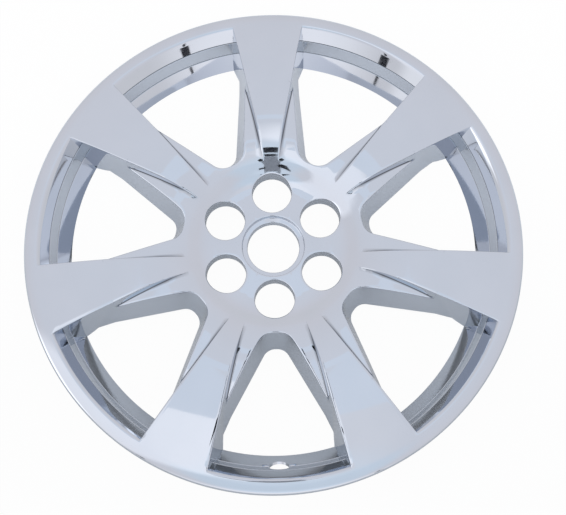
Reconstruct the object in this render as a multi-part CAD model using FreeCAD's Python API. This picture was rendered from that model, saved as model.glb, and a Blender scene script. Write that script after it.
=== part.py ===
"""Seven-spoke hubcap for a twenty-inch wheel: one chrome-plated moulding, a thin shell with an open back.

It lies face up. The back edges of its windows rest on z = 0 and the wheel's axis is the Z axis, so the
top spoke points along +Y. Heights named here are measured from the flat hub pad unless a comment says so.
"""

import FreeCAD
import Part

import math
import os

# Overall sizes, millimetres
OUTER_DIAMETER = 542.0
WALL = 2.8
PAD_HEIGHT = 32.5  # hub pad above the plane that the back edges rest on

# Hub: a flat pad with six lug holes round a stepped centre hole
LUG_COUNT = 6
LUG_CIRCLE_DIAMETER = 120.0
LUG_HOLE_DIAMETER = 43.4
TUBE_WALL = 2.4
TUBE_DEPTH = 16.0  # lug and centre tubes end this far behind the pad
CENTRE_HOLE_DIAMETER = 57.0
RECESS_DIAMETER = 68.0
RECESS_DEPTH = 6.0
PAD_DIAMETER = 128.0

# Face: hollow fillet out of the pad, shoulder up to the crown, long arc down to the lip
HUB_FILLET_RADIUS = 36.0
HUB_SLOPE = math.radians(32.0)
CROWN_DIAMETER = 300.0
FACE_DROP = 11.0  # from the crown circle to the inner edge of the lip
LIP_WIDTH = 12.0
LIP_SLOPE = math.radians(26.0)  # where the lip turns over its outer edge
LIP_EDGE_RADIUS = 4.2
LIP_SKIRT = 2.5  # straight wall below the rounded outer edge

# Spokes and the windows between them; along is measured on a spoke's axis, across from it
SPOKE_COUNT = 7
BLADE_SLOPE = 0.2055  # half width gained per unit of length
BLADE_START = 93.0  # where the raised blade grows out of the hub
BLADE_START_HALF_WIDTH = 5.4
BLADE_END = 186.0  # where the shelf beside the blade has run out
BLADE_DRAFT = 0.17
BLADE_DRAFT_HEIGHT = 30.0  # height at which the blade's plan width is given

SHELF_SLOPE = math.radians(20.0)
SHELF_HUB_RADIUS = 90.0
SHELF_OUTER_RADIUS = 322.0

# Window walls run from a front edge to a back edge: (along, across, height) at both
HUB_CORNER_FRONT = (103.0, 30.4, 15.0)
HUB_CORNER_BACK = (113.0, 39.5, -25.0)
BEND_FRONT = (188.0, 26.9, 10.0)
BEND_BACK = (206.0, 33.6, -30.0)
RIM_HALF_WIDTH_FRONT = 39.4
RIM_HALF_WIDTH_BACK = 40.0
WINDOW_END_FRONT = 98.5  # hub end of a window, on the window's own axis
WINDOW_END_BACK = 111.5
END_RADIUS_FRONT = 18.0
END_RADIUS_BACK = 14.0

# Rim wall of a window, from the front edge back: three cone facets, inset from the outer radius
EDGE_ROUND_RADIUS = 7.7
EDGE_ROUND_SLOPE = math.radians(15.0)
EDGE_INSET = 13.0
EDGE_HEIGHT = 14.1
UPPER_FACET_SLOPE = math.radians(50.0)
MIDDLE_FACET_INSET = 26.7
MIDDLE_FACET_HEIGHT = -0.1
LOWER_FACET_INSET = 32.5
LOWER_FACET_HEIGHT = -15.8
BACK_EDGE_INSET = 46.5

# Back edges of the walls beside the spokes and round the hub stand clear of the resting plane
HUB_BACK_RADIUS = 88.0
HUB_WALL_BACK = -21.0
SPOKE_BACK_RADIUS = 190.0
SPOKE_WALL_BACK = -25.0
BACK_RUN_OUT = 24.0  # radial length over which the spoke walls come down to the resting plane

# Valve hole through the rim wall of the window opposite the top spoke
VALVE_HOLE_DIAMETER = 22.0

# How far the cutting bodies run past the surfaces that they cut
CUT_CLEARANCE = 11.2
POCKET_LEAD_IN = 12.0  # shelves and pockets begin this far inside the blade's start
WINDOW_OVERRUN = 1.4  # window sides, as a multiple of their length from the bend to the rim
SAME_POINT = 1e-6  # ends of edges nearer than this are one point

# Worked out from the sizes above
OUTER_RADIUS = OUTER_DIAMETER / 2
PAD_RADIUS = PAD_DIAMETER / 2
CROWN_RADIUS = CROWN_DIAMETER / 2
FACE_EDGE_RADIUS = OUTER_RADIUS - LIP_WIDTH
PITCH = 2 * math.pi / SPOKE_COUNT
BACK_HEIGHT = -PAD_HEIGHT
CUT_BOTTOM = BACK_HEIGHT - CUT_CLEARANCE


def point(radius, height):
    """A point of a revolved outline."""
    return FreeCAD.Vector(radius, 0, height + PAD_HEIGHT)


def line(start, end):
    return Part.LineSegment(start, end).toShape()


def arc(centre, radius, start, end):
    """Arc of a revolved outline round a centre (radius, height), between two angles from the horizontal."""
    def at(angle):
        return point(centre[0] + radius * math.cos(angle), centre[1] + radius * math.sin(angle))

    return Part.Arc(at(start), at((start + end) / 2), at(end)).toShape()


def first(edge):
    return edge.valueAt(edge.FirstParameter)


def last(edge):
    return edge.valueAt(edge.LastParameter)


def joined(edges):
    """Edges in order, with a straight edge across each gap between them and back to the start."""
    out = []
    for edge, following in zip(edges, edges[1:] + edges[:1]):
        out.append(edge)
        if last(edge).distanceToPoint(first(following)) > SAME_POINT:
            out.append(line(last(edge), first(following)))
    return out


def revolved(edges):
    face = Part.Face(Part.Wire(joined(edges)))
    return face.revolve(FreeCAD.Vector(), FreeCAD.Vector(0, 0, 1), 360)


# Revolved face: the visible surface, or the surface a given depth behind it

RIGHT_ANGLE = math.pi / 2
SHOULDER_RADIUS = (CROWN_RADIUS - PAD_RADIUS) / math.sin(HUB_SLOPE) - HUB_FILLET_RADIUS
CROWN_HEIGHT = (HUB_FILLET_RADIUS + SHOULDER_RADIUS) * (1 - math.cos(HUB_SLOPE))
FACE_RUN = FACE_EDGE_RADIUS - CROWN_RADIUS
FACE_RADIUS = (FACE_RUN ** 2 + FACE_DROP ** 2) / (2 * FACE_DROP)
FACE_SLOPE = math.asin(FACE_RUN / FACE_RADIUS)
EDGE_RUN = LIP_EDGE_RADIUS * (1 - math.sin(LIP_SLOPE))
LIP_RADIUS = (LIP_WIDTH - EDGE_RUN) / (math.sin(LIP_SLOPE) - math.sin(FACE_SLOPE))
CUT_TOP = CROWN_HEIGHT + CUT_CLEARANCE


def face_edges(depth):
    """Edges from the pad's inner end out to the lip's outer wall."""
    fillet_centre = (PAD_RADIUS, HUB_FILLET_RADIUS)
    shoulder_centre = (CROWN_RADIUS, CROWN_HEIGHT - SHOULDER_RADIUS)
    face_centre = (CROWN_RADIUS, CROWN_HEIGHT - FACE_RADIUS)
    lip_centre = (
        FACE_EDGE_RADIUS - LIP_RADIUS * math.sin(FACE_SLOPE),
        CROWN_HEIGHT - FACE_DROP - LIP_RADIUS * math.cos(FACE_SLOPE),
    )
    edge_centre = (
        OUTER_RADIUS - LIP_EDGE_RADIUS,
        lip_centre[1] + (LIP_RADIUS - LIP_EDGE_RADIUS) * math.cos(LIP_SLOPE),
    )
    return [
        arc(fillet_centre, HUB_FILLET_RADIUS + depth, -RIGHT_ANGLE, HUB_SLOPE - RIGHT_ANGLE),
        arc(shoulder_centre, SHOULDER_RADIUS - depth, RIGHT_ANGLE + HUB_SLOPE, RIGHT_ANGLE),
        arc(face_centre, FACE_RADIUS - depth, RIGHT_ANGLE, RIGHT_ANGLE - FACE_SLOPE),
        arc(lip_centre, LIP_RADIUS - depth, RIGHT_ANGLE - FACE_SLOPE, RIGHT_ANGLE - LIP_SLOPE),
        arc(edge_centre, LIP_EDGE_RADIUS - depth, RIGHT_ANGLE - LIP_SLOPE, 0),
    ]


def centre_edges(depth, bottom):
    """Edges up the centre tube, across the recess and up to the pad."""
    hole = CENTRE_HOLE_DIAMETER / 2 + depth
    recess = RECESS_DIAMETER / 2 + depth
    corners = [
        point(hole, bottom),
        point(hole, -RECESS_DEPTH - depth),
        point(recess, -RECESS_DEPTH - depth),
        point(recess, -depth),
    ]
    return [line(a, b) for a, b in zip(corners, corners[1:])]


def outer_body():
    """Everything between the visible face and the back edges, before the windows are cut."""
    face = face_edges(0)
    skirt = last(face[-1]).z - PAD_HEIGHT - LIP_SKIRT
    inside_lip = OUTER_RADIUS - 2 * WALL  # well inside the hollow that is cut later
    back = [
        point(OUTER_RADIUS, skirt),
        point(inside_lip, skirt),
        point(inside_lip, BACK_HEIGHT),
        point(SPOKE_BACK_RADIUS + BACK_RUN_OUT, BACK_HEIGHT),
        point(SPOKE_BACK_RADIUS, SPOKE_WALL_BACK),
        point(HUB_BACK_RADIUS + WALL, HUB_WALL_BACK),
        point(HUB_BACK_RADIUS, -TUBE_DEPTH),
    ]
    back_edges = [line(a, b) for a, b in zip(back, back[1:])]
    return revolved(centre_edges(0, -TUBE_DEPTH) + face + back_edges)


def hollow_body():
    """The space behind the face, one wall thickness in, before the window walls are taken out of it."""
    face = face_edges(WALL)
    outer = last(face[-1])
    bottom = line(point(outer.x, CUT_BOTTOM), point(CENTRE_HOLE_DIAMETER / 2 + WALL, CUT_BOTTOM))
    return revolved(centre_edges(WALL, CUT_BOTTOM) + face + [bottom])


# Windows

def on_window(along, across):
    """A spoke's point in the plan of the window beside it, whose own axis is X."""
    half = PITCH / 2
    x = along * math.cos(half) + across * math.sin(half)
    y = along * math.sin(half) - across * math.cos(half)
    return x, y


def between(front, back, height):
    """Where the straight line through a front and a back point (along, across, height) is at a height."""
    share = (front[2] - height) / (front[2] - back[2])
    return [f + share * (b - f) for f, b in zip(front[:2], back[:2])]


def grown(corners, amount):
    """Corners of an anticlockwise outline with each side moved out by an amount."""
    sides = []
    for (x0, y0), (x1, y1) in zip(corners, corners[1:] + corners[:1]):
        length = math.hypot(x1 - x0, y1 - y0)
        dx, dy = (x1 - x0) / length, (y1 - y0) / length
        sides.append((x0 + amount * dy, y0 - amount * dx, dx, dy))
    out = []
    for before, after in zip(sides[-1:] + sides[:-1], sides):
        turn = before[2] * after[3] - before[3] * after[2]
        step = ((after[0] - before[0]) * after[3] - (after[1] - before[1]) * after[2]) / turn
        out.append((before[0] + step * before[2], before[1] + step * before[3]))
    return out


def mirrored(side):
    """Closed anticlockwise outline from the points of one side, hub end first, and their mirror image."""
    return [(x, -y) for x, y in side] + [(x, y) for x, y in reversed(side)]


def rim_corner(height):
    """Where a window's side wall meets its rim wall at a height, on the spoke beside it."""
    def on_rim(inset, across):
        return math.sqrt((OUTER_RADIUS - inset) ** 2 - across ** 2)

    front = (on_rim(EDGE_INSET, RIM_HALF_WIDTH_FRONT), RIM_HALF_WIDTH_FRONT, EDGE_HEIGHT)
    back = (on_rim(BACK_EDGE_INSET, RIM_HALF_WIDTH_BACK), RIM_HALF_WIDTH_BACK, BACK_HEIGHT)
    return between(front, back, height)


def window_wire(height, growth):
    """Outline of a window at a height, its walls moved out by a growth, with a rounded hub end."""
    share = (HUB_CORNER_FRONT[2] - height) / (HUB_CORNER_FRONT[2] - HUB_CORNER_BACK[2])
    end = WINDOW_END_FRONT + share * (WINDOW_END_BACK - WINDOW_END_FRONT)
    end_radius = END_RADIUS_FRONT + share * (END_RADIUS_BACK - END_RADIUS_FRONT) + growth
    corner = on_window(*between(HUB_CORNER_FRONT, HUB_CORNER_BACK, height))
    bend_on_spoke = between(BEND_FRONT, BEND_BACK, height)
    rim_on_spoke = rim_corner(height)
    past_rim = [b + WINDOW_OVERRUN * (r - b) for b, r in zip(bend_on_spoke, rim_on_spoke)]
    bend = on_window(*bend_on_spoke)
    far = on_window(*past_rim)
    slope = (bend[1] - corner[1]) / (bend[0] - corner[0])
    side = [(end, corner[1] + slope * (end - corner[0])), bend, far]
    corners = grown(mirrored(side), growth)
    points = [FreeCAD.Vector(x, y, height + PAD_HEIGHT) for x, y in corners]
    return rounded_end(points, end_radius)


def rounded_end(points, radius):
    """Wire through points whose last-to-first side is the hub end, with both its corners rounded."""
    along_side = (points[1] - points[0]).normalize()
    along_end = (points[-1] - points[0]).normalize()
    half_corner = along_side.getAngle(along_end) / 2
    reach = radius / math.tan(half_corner)
    other_side = (points[-2] - points[-1]).normalize()
    to_middle = (along_side + along_end).normalize() * (radius / math.sin(half_corner) - radius)
    other_middle = (other_side - along_end).normalize() * (radius / math.sin(half_corner) - radius)
    side_start = points[0] + along_side * reach
    end_start = points[0] + along_end * reach
    end_stop = points[-1] - along_end * reach
    side_stop = points[-1] + other_side * reach
    walls = [side_start] + points[1:-1] + [side_stop]
    edges = [line(a, b) for a, b in zip(walls, walls[1:])]
    edges.append(Part.Arc(side_stop, points[-1] + other_middle, end_stop).toShape())
    edges.append(line(end_stop, end_start))
    edges.append(Part.Arc(end_start, points[0] + to_middle, side_start).toShape())
    return Part.Wire(edges)


def rim_wall_body(depth):
    """Everything inside the rim wall's three facets, or inside the surface a given depth behind them."""
    def facet(start, end):
        length = math.hypot(end[0] - start[0], end[1] - start[1])
        across = (end[1] - start[1]) * depth / length
        down = (end[0] - start[0]) * depth / length
        return (start[0] + across, start[1] - down), (end[0] + across, end[1] - down)

    edge = (OUTER_RADIUS - EDGE_INSET, EDGE_HEIGHT)
    centre = (
        edge[0] + EDGE_ROUND_RADIUS * math.sin(EDGE_ROUND_SLOPE),
        edge[1] - EDGE_ROUND_RADIUS * math.cos(EDGE_ROUND_SLOPE),
    )
    round_edge = arc(
        centre,
        EDGE_ROUND_RADIUS - depth,
        RIGHT_ANGLE + UPPER_FACET_SLOPE,
        RIGHT_ANGLE + EDGE_ROUND_SLOPE,
    )
    upper_middle = (OUTER_RADIUS - MIDDLE_FACET_INSET, MIDDLE_FACET_HEIGHT)
    middle_lower = (OUTER_RADIUS - LOWER_FACET_INSET, LOWER_FACET_HEIGHT)
    back = (OUTER_RADIUS - BACK_EDGE_INSET, BACK_HEIGHT)
    stretch = (CUT_BOTTOM - back[1]) / (back[1] - middle_lower[1])
    below = [b + stretch * (b - m) for b, m in zip(back, middle_lower)]
    lower = facet(below, middle_lower)
    middle = facet(middle_lower, upper_middle)
    run_up = (CUT_TOP - EDGE_HEIGHT) / math.tan(EDGE_ROUND_SLOPE)
    top = last(round_edge) + FreeCAD.Vector(run_up, 0, CUT_TOP - EDGE_HEIGHT)
    edges = [
        line(point(0, CUT_BOTTOM - WALL), point(*lower[0])),
        line(point(*lower[0]), point(*crossing(lower, middle))),
        line(point(*crossing(lower, middle)), point(*middle[1])),
        round_edge,
        line(last(round_edge), top),
        line(top, FreeCAD.Vector(0, 0, top.z)),
    ]
    return revolved(edges)


def crossing(one, other):
    """Where the lines through two pairs of plan points cross."""
    (x0, y0), (x1, y1) = one
    (x2, y2), (x3, y3) = other
    turn = (x1 - x0) * (y3 - y2) - (y1 - y0) * (x3 - x2)
    step = ((x2 - x0) * (y3 - y2) - (y2 - y0) * (x3 - x2)) / turn
    return x0 + step * (x1 - x0), y0 + step * (y1 - y0)


def window_cutter(growth):
    walls = Part.makeLoft(
        [window_wire(CUT_BOTTOM - WALL, growth), window_wire(CUT_TOP, growth)], True, True
    )
    return walls.common(rim_wall_body(growth))


# Shelves beside the raised blades

def shelf_body(depth):
    """Everything above the shelves, or above the surface a given depth behind them."""
    slope_here = math.asin((CROWN_RADIUS - BLADE_START) / SHOULDER_RADIUS)
    start_height = CROWN_HEIGHT - SHOULDER_RADIUS * (1 - math.cos(slope_here))
    top_radius = BLADE_START + SHELF_HUB_RADIUS * math.sin(SHELF_SLOPE)
    top_height = start_height + SHELF_HUB_RADIUS * (1 - math.cos(SHELF_SLOPE))
    hub_arc = arc(
        (top_radius, top_height - SHELF_HUB_RADIUS),
        SHELF_HUB_RADIUS - depth,
        RIGHT_ANGLE + SHELF_SLOPE,
        RIGHT_ANGLE,
    )
    outer_angle = math.asin((BLADE_END + POCKET_LEAD_IN - top_radius) / SHELF_OUTER_RADIUS)
    outer_arc = arc(
        (top_radius, top_height - SHELF_OUTER_RADIUS),
        SHELF_OUTER_RADIUS - depth,
        RIGHT_ANGLE,
        RIGHT_ANGLE - outer_angle,
    )
    lead_in = FreeCAD.Vector(-math.cos(SHELF_SLOPE), 0, -math.sin(SHELF_SLOPE)) * POCKET_LEAD_IN
    inner = first(hub_arc) + lead_in
    outer = last(outer_arc)
    top = CUT_TOP + PAD_HEIGHT
    return revolved(
        [
            line(inner, first(hub_arc)),
            hub_arc,
            outer_arc,
            line(outer, FreeCAD.Vector(outer.x, 0, top)),
            line(FreeCAD.Vector(outer.x, 0, top), FreeCAD.Vector(inner.x, 0, top)),
        ]
    )


def blade_half_width(along):
    return BLADE_START_HALF_WIDTH + BLADE_SLOPE * (along - BLADE_START)


def pocket_wire(height, growth):
    """Outline at a height of the space between two neighbouring blades."""
    hub_end = BLADE_START - POCKET_LEAD_IN
    side = [
        on_window(hub_end, blade_half_width(hub_end)),
        on_window(BLADE_END, blade_half_width(BLADE_END)),
    ]
    draft = BLADE_DRAFT * (BLADE_DRAFT_HEIGHT - height)
    corners = grown(mirrored(side), growth - draft)
    points = [FreeCAD.Vector(x, y, height + PAD_HEIGHT) for x, y in corners]
    return Part.makePolygon(points + points[:1])


def pocket_cutter(growth):
    walls = Part.makeLoft([pocket_wire(BACK_HEIGHT, growth), pocket_wire(CUT_TOP, growth)], True, True)
    return walls.common(shelf_body(growth))


def around(shape, count, start):
    """Copies of a shape, evenly turned about the Z axis from a start angle in degrees."""
    copies = []
    for step in range(count):
        copy = shape.copy()
        copy.rotate(FreeCAD.Vector(), FreeCAD.Vector(0, 0, 1), start + step * 360 / count)
        copies.append(copy)
    return copies


def with_windows(body, growth):
    """A body with the seven windows, and the pockets that leave the blades standing, cut out of it."""
    first_window = 90 + math.degrees(PITCH) / 2
    cutters = around(pocket_cutter(growth), SPOKE_COUNT, first_window)
    cutters += around(window_cutter(growth), SPOKE_COUNT, first_window)
    for cutter in cutters:
        body = body.cut(cutter)
    return body


def lug_cylinders(radius):
    centre = FreeCAD.Vector(LUG_CIRCLE_DIAMETER / 2, 0, PAD_HEIGHT + CUT_BOTTOM)
    cylinder = Part.makeCylinder(radius, CUT_TOP - CUT_BOTTOM, centre)
    return around(cylinder, LUG_COUNT, 90)


def valve_cutter():
    """Cylinder through the rim wall, square to the line from the middle of its lower to its middle facet."""
    radius = OUTER_RADIUS - LOWER_FACET_INSET
    slope_r = BACK_EDGE_INSET - MIDDLE_FACET_INSET
    slope_z = MIDDLE_FACET_HEIGHT - BACK_HEIGHT
    axis = FreeCAD.Vector(0, -slope_z, -slope_r).normalize()
    middle = FreeCAD.Vector(0, -radius, LOWER_FACET_HEIGHT + PAD_HEIGHT)
    reach = VALVE_HOLE_DIAMETER / 2 + WALL
    return Part.makeCylinder(VALVE_HOLE_DIAMETER / 2, 2 * reach, middle - axis * reach, axis)


def hubcap():
    hollow = with_windows(hollow_body(), WALL)
    for tube in lug_cylinders(LUG_HOLE_DIAMETER / 2 + TUBE_WALL):
        hollow = hollow.cut(tube)
    shell = with_windows(outer_body(), 0).cut(hollow)
    for hole in lug_cylinders(LUG_HOLE_DIAMETER / 2) + [valve_cutter()]:
        shell = shell.cut(hole)
    return shell


shape = hubcap()
print("solids", len(shape.Solids), "valid", shape.isValid(), "faces", len(shape.Faces))
print("volume mm3", round(shape.Volume))
os.makedirs("parts", exist_ok=True)
shape.exportStep("parts/hubcap.step")
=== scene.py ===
# %% [markdown]
# # A chrome hubcap
# The object is one moulding: a thin plastic shell, plated with bright chrome, that covers the front of a
# car wheel. Seven broad spokes run from a flat hub with six lug holes out to a rolled lip. Chrome shows
# every facet of a mesh, so this lesson rebuilds the shell from smooth strips of quads on the sizes of the
# CAD model. Then it gives it a pale sky, a white floor and some dark boards to mirror, because chrome has
# no look of its own.

# %% Load the frame
import math

import bmesh
import bpy
import numpy as np
from mathutils import Matrix, Vector


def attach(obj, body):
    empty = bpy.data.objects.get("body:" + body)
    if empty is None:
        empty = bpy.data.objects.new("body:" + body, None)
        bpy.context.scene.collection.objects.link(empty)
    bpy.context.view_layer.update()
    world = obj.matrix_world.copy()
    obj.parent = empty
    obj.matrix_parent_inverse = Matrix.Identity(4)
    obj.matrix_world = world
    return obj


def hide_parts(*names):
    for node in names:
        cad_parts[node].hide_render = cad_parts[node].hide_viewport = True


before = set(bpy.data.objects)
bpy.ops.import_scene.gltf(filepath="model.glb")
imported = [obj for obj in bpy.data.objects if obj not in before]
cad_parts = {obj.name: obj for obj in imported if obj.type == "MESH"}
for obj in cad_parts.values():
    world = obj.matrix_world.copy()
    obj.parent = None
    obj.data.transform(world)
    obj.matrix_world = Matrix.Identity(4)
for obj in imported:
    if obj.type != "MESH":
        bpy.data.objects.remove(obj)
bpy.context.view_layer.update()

# %% [markdown]
# ## The revolved face
# The face is turned about the wheel's axis: a flat pad, a hollow fillet, a shoulder up to the crown circle
# and a long arc down to the lip. A function of the radius gives its height above the pad, so every strip
# of the mesh can ask for the same surface. Beside each raised blade lies a lower shelf, turned too.

# %% Sizes of the revolved face
MM = 0.001
OUTER_RADIUS = 271 * MM
PAD_HEIGHT = 32.5 * MM
WALL = 2.8 * MM
PAD_RADIUS = 64 * MM
FILLET_RADIUS = 36 * MM
HUB_SLOPE = math.radians(32)
CROWN_RADIUS = 150 * MM
FACE_DROP = 11 * MM
FACE_EDGE_RADIUS = OUTER_RADIUS - 12 * MM

FILLET_END = PAD_RADIUS + FILLET_RADIUS * math.sin(HUB_SLOPE)
SHOULDER_RADIUS = (CROWN_RADIUS - PAD_RADIUS) / math.sin(HUB_SLOPE) - FILLET_RADIUS
CROWN_HEIGHT = (FILLET_RADIUS + SHOULDER_RADIUS) * (1 - math.cos(HUB_SLOPE))
FACE_RUN = FACE_EDGE_RADIUS - CROWN_RADIUS
FACE_RADIUS = (FACE_RUN ** 2 + FACE_DROP ** 2) / (2 * FACE_DROP)
FACE_SLOPE = math.asin(FACE_RUN / FACE_RADIUS)


def cap(radius, offset):
    """Drop of an arc below its highest point, at an offset from it."""
    return radius - np.sqrt(np.maximum(radius ** 2 - offset ** 2, 0))


def face_height(r):
    """Height of the turned face above the pad, at a radius."""
    r = np.asarray(r, float)
    fillet = cap(FILLET_RADIUS, np.clip(r - PAD_RADIUS, 0, None))
    shoulder = CROWN_HEIGHT - cap(SHOULDER_RADIUS, CROWN_RADIUS - r)
    outer = CROWN_HEIGHT - cap(FACE_RADIUS, r - CROWN_RADIUS)
    return np.where(r < FILLET_END, fillet, np.where(r < CROWN_RADIUS, shoulder, outer))


print("crown", round(CROWN_HEIGHT / MM, 2), "mm above the pad")
print("shoulder radius", round(SHOULDER_RADIUS / MM, 1), "mm")

# %% Sizes of the blades and shelves
SPOKE_COUNT = 7
HALF_PITCH = math.pi / SPOKE_COUNT
BLADE_START = 93 * MM
BLADE_START_HALF_WIDTH = 5.4 * MM
BLADE_SLOPE = 0.2055  # gain of half width per length
BLADE_DRAFT = 0.17  # lean of the sides
BLADE_DRAFT_HEIGHT = 30 * MM  # height at which the half width holds
SHELF_SLOPE = math.radians(20)
SHELF_HUB_RADIUS = 90 * MM
SHELF_OUTER_RADIUS = 322 * MM

BLADE_LEAN = BLADE_DRAFT * math.hypot(1, BLADE_SLOPE)
SHELF_TOP = BLADE_START + SHELF_HUB_RADIUS * math.sin(SHELF_SLOPE)
SHELF_TOP_HEIGHT = float(face_height(BLADE_START)) + SHELF_HUB_RADIUS * (1 - math.cos(SHELF_SLOPE))


def shelf_height(r):
    """Height of the shelf beside a blade, at a radius; nearer the hub it is the face itself."""
    r = np.asarray(r, float)
    bend = np.where(r < SHELF_TOP, SHELF_HUB_RADIUS, SHELF_OUTER_RADIUS)
    shelf = SHELF_TOP_HEIGHT - cap(bend, r - SHELF_TOP)
    return np.where(r < BLADE_START, face_height(r), np.minimum(shelf, face_height(r)))


def blade_wall_reach(along, height):
    """How far across from a spoke's axis the sloping side of its blade lies."""
    half_width = BLADE_START_HALF_WIDTH + BLADE_SLOPE * (along - BLADE_START)
    return half_width + BLADE_LEAN * (BLADE_DRAFT_HEIGHT - height)


def front_height(along, across):
    """Height of the visible front, windows apart: blade top, its sloping side or the shelf beside it."""
    r = np.hypot(along, across)
    fall = (across - blade_wall_reach(along, BLADE_DRAFT_HEIGHT)) / BLADE_LEAN
    side = np.maximum(shelf_height(r), BLADE_DRAFT_HEIGHT - fall)
    return np.where(r < BLADE_START, face_height(r), np.minimum(face_height(r), side))


print("shelf top at radius", round(SHELF_TOP / MM, 1), "mm, height", round(SHELF_TOP_HEIGHT / MM, 2))

# %% [markdown]
# ## The windows
# Each opening between two spokes has leaning walls: a straight line joins a point of its outline low down
# to the matching point high up. Such ruled walls are easy to cut off where they meet the front, and again
# where they end at the back. The rim side of an opening is turned, in three facets under a rounded edge,
# with a shallow groove between one facet and the next.

# %% Outline of a window beside a spoke
# Pairs are for a high and a low point. The first two hold places along and across the spoke, and heights.
HUB_CORNER = ((103 * MM, 30.4 * MM, 15 * MM), (113 * MM, 39.5 * MM, -25 * MM))
BEND = ((188 * MM, 26.9 * MM, 10 * MM), (206 * MM, 33.6 * MM, -30 * MM))
HUB_END = (98.5 * MM, 111.5 * MM)
END_ROUNDING = (18 * MM, 14 * MM)
RIM_HALF_WIDTH = (39.4 * MM, 40 * MM)
EDGE_POINT = (OUTER_RADIUS - 13 * MM, 14.1 * MM)  # radius and height of the rim wall's upper edge
BACK_RADIUS = OUTER_RADIUS - 46.5 * MM
LOW = -46.5 * MM  # every ruling runs from this height
HIGH = CROWN_HEIGHT + 11.2 * MM  # up to this one
WINDOW_AXIS = np.array((math.cos(HALF_PITCH), math.sin(HALF_PITCH)))


def unit(vector):
    return vector / np.linalg.norm(vector)


def at_height(front, back, height):
    """Place in plan, at a height, on the line through a high and a low point."""
    share = (front[2] - height) / (front[2] - back[2])
    return np.array(front[:2]) + share * (np.array(back[:2]) - np.array(front[:2]))


def on_rim(radius, across, height):
    return (math.sqrt(radius ** 2 - across ** 2), across, height)


RIM_CORNER = (
    on_rim(EDGE_POINT[0], RIM_HALF_WIDTH[0], EDGE_POINT[1]),
    on_rim(BACK_RADIUS, RIM_HALF_WIDTH[1], -PAD_HEIGHT),
)


def window_guides(height):
    """Middle of the hub end, rounded corner (centre, radius, two angles) and bend, in plan."""
    share = (HUB_CORNER[0][2] - height) / (HUB_CORNER[0][2] - HUB_CORNER[1][2])
    end = HUB_END[0] + share * (HUB_END[1] - HUB_END[0])
    radius = END_ROUNDING[0] + share * (END_ROUNDING[1] - END_ROUNDING[0])
    corner, bend = at_height(*HUB_CORNER, height), at_height(*BEND, height)
    along_side = unit(bend - corner)
    normal = np.array((-along_side[1], along_side[0]))
    inset = np.array((end + radius, corner @ normal + radius))
    centre = np.linalg.solve(np.array((WINDOW_AXIS, normal)), inset)
    to_end = math.atan2(-WINDOW_AXIS[1], -WINDOW_AXIS[0])
    to_side = math.atan2(-normal[1], -normal[0])
    return WINDOW_AXIS * end, centre, radius, (to_end, to_side), bend


print("windows from", round(HUB_END[0] / MM, 1), "to", round(EDGE_POINT[0] / MM, 1), "mm off the axis")

# %% Rulings of the hub end and the sides
END_COLUMNS = 10
CORNER_COLUMNS = 5
SIDE_COLUMNS = 22
RIM_COLUMNS = 12


def spaced(start, end, count):
    return [start + (end - start) * step / count for step in range(count + 1)]


def outline(height):
    """Points from the middle of the hub end, round the corner and along the side to the bend."""
    middle, centre, radius, (to_end, to_side), bend = window_guides(height)

    def on_corner(angle):
        return centre + radius * np.array((math.cos(angle), math.sin(angle)))

    to_middle = (to_end + to_side) / 2
    points = spaced(middle, on_corner(to_end), END_COLUMNS - CORNER_COLUMNS)
    points += [on_corner(a) for a in spaced(to_end, to_middle, CORNER_COLUMNS)[1:]]
    points += [on_corner(a) for a in spaced(to_middle, to_side, CORNER_COLUMNS)[1:]]
    points += spaced(on_corner(to_side), bend, SIDE_COLUMNS)[1:]
    return np.array(points)


low_outline, high_outline = outline(LOW), outline(HIGH)


def on_ruling(column, height):
    share = (height - LOW) / (HIGH - LOW)
    return low_outline[column] + share * (high_outline[column] - low_outline[column])


def on_rim_side(reach, height):
    """On the side wall beyond the bend: reach is 0 at the bend and 1 at the rim corner's guide."""
    bend, rim = at_height(*BEND, height), at_height(*RIM_CORNER, height)
    return bend + reach * (rim - bend)


print(len(low_outline), "rulings from the hub end to the bend")

# %% Where the walls begin and end
HALVINGS = 40  # steps of a search
BACK_PROFILE = (  # radius and height
    (90.8 * MM, -21 * MM),
    (190 * MM, -25 * MM),
    (214 * MM, -PAD_HEIGHT),
    (OUTER_RADIUS, -PAD_HEIGHT),
)


def back_height(along, across):
    return np.interp(np.hypot(along, across), *np.array(BACK_PROFILE).T)


def solved(function, low, high):
    """Where a rising function passes zero."""
    for halving in range(HALVINGS):
        middle = (low + high) / 2
        if function(middle) < 0:
            low = middle
        else:
            high = middle
    return (low + high) / 2


def crossing(place, surface, low, high):
    """Height between low and high at which the point place(height) lies on a surface of heights."""
    return solved(lambda height: height - surface(*place(height)), low, high)


# %% Profile of the rim wall
EDGE_ROUND = 7.7 * MM
EDGE_ROUND_SLOPES = (math.radians(15), math.radians(50))
FACET_POINTS = (  # radius and height of each facet's lower end
    (OUTER_RADIUS - 26.7 * MM, -0.1 * MM),
    (OUTER_RADIUS - 32.5 * MM, -17.4 * MM),
    (BACK_RADIUS, -PAD_HEIGHT),
)
FACET_ROWS = (4, 3, 5)
ROUND_ROWS = 3
GROOVE_POINTS = 3
GROOVE_HALF_WIDTH = 0.8 * MM
GROOVE_DEPTH = 0.9 * MM

round_centre = (
    EDGE_POINT[0] + EDGE_ROUND * math.sin(EDGE_ROUND_SLOPES[0]),
    EDGE_POINT[1] - EDGE_ROUND * math.cos(EDGE_ROUND_SLOPES[0]),
)


def on_round(slope):
    r = round_centre[0] - EDGE_ROUND * math.sin(slope)
    return np.array((r, round_centre[1] + EDGE_ROUND * math.cos(slope)))


def round_below_face(slope):
    r, z = on_round(slope)
    return face_height(r) - z


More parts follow.
